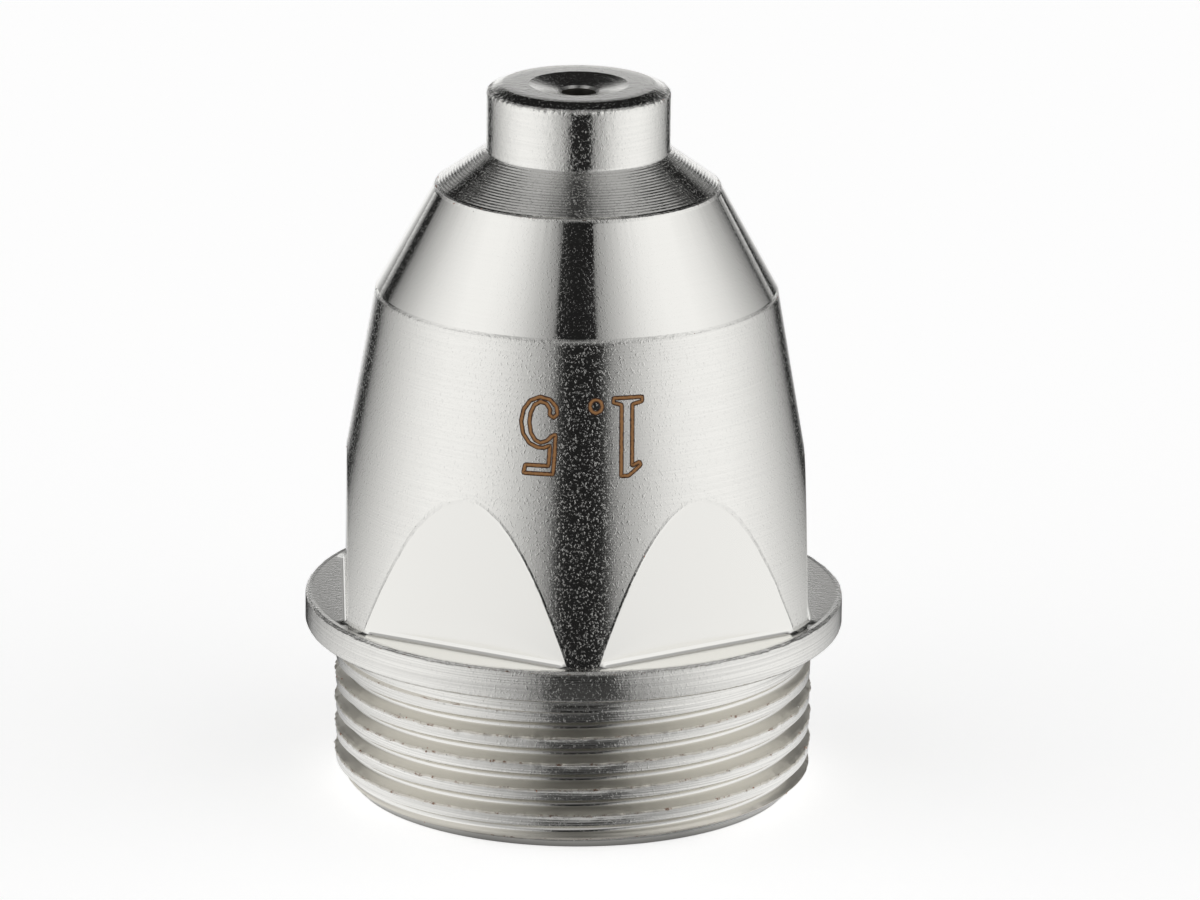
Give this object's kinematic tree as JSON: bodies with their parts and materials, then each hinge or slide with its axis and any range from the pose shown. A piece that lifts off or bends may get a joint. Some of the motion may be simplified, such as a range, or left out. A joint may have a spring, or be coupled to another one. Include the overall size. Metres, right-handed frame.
{
  "type": "plasma torch nozzle",
  "caption": "Turned plated-copper torch nozzle: threaded stub, thin flange, tapering body with spanner flats at its foot, and a short tip with a small orifice in a shallow dish.",
  "frame": {"origin": "centre of the open, threaded end, on which the nozzle stands", "axes": "+Z along the axis from the open end to the tip; one spanner flat faces +X"},
  "size_m": [0.0236, 0.0236, 0.0315],
  "materials": {
    "plated_copper": "bright plating over fine turning marks"
  },
  "bodies": {
    "root": {"nozzle": "plated_copper"}
  },
  "joints": []
}
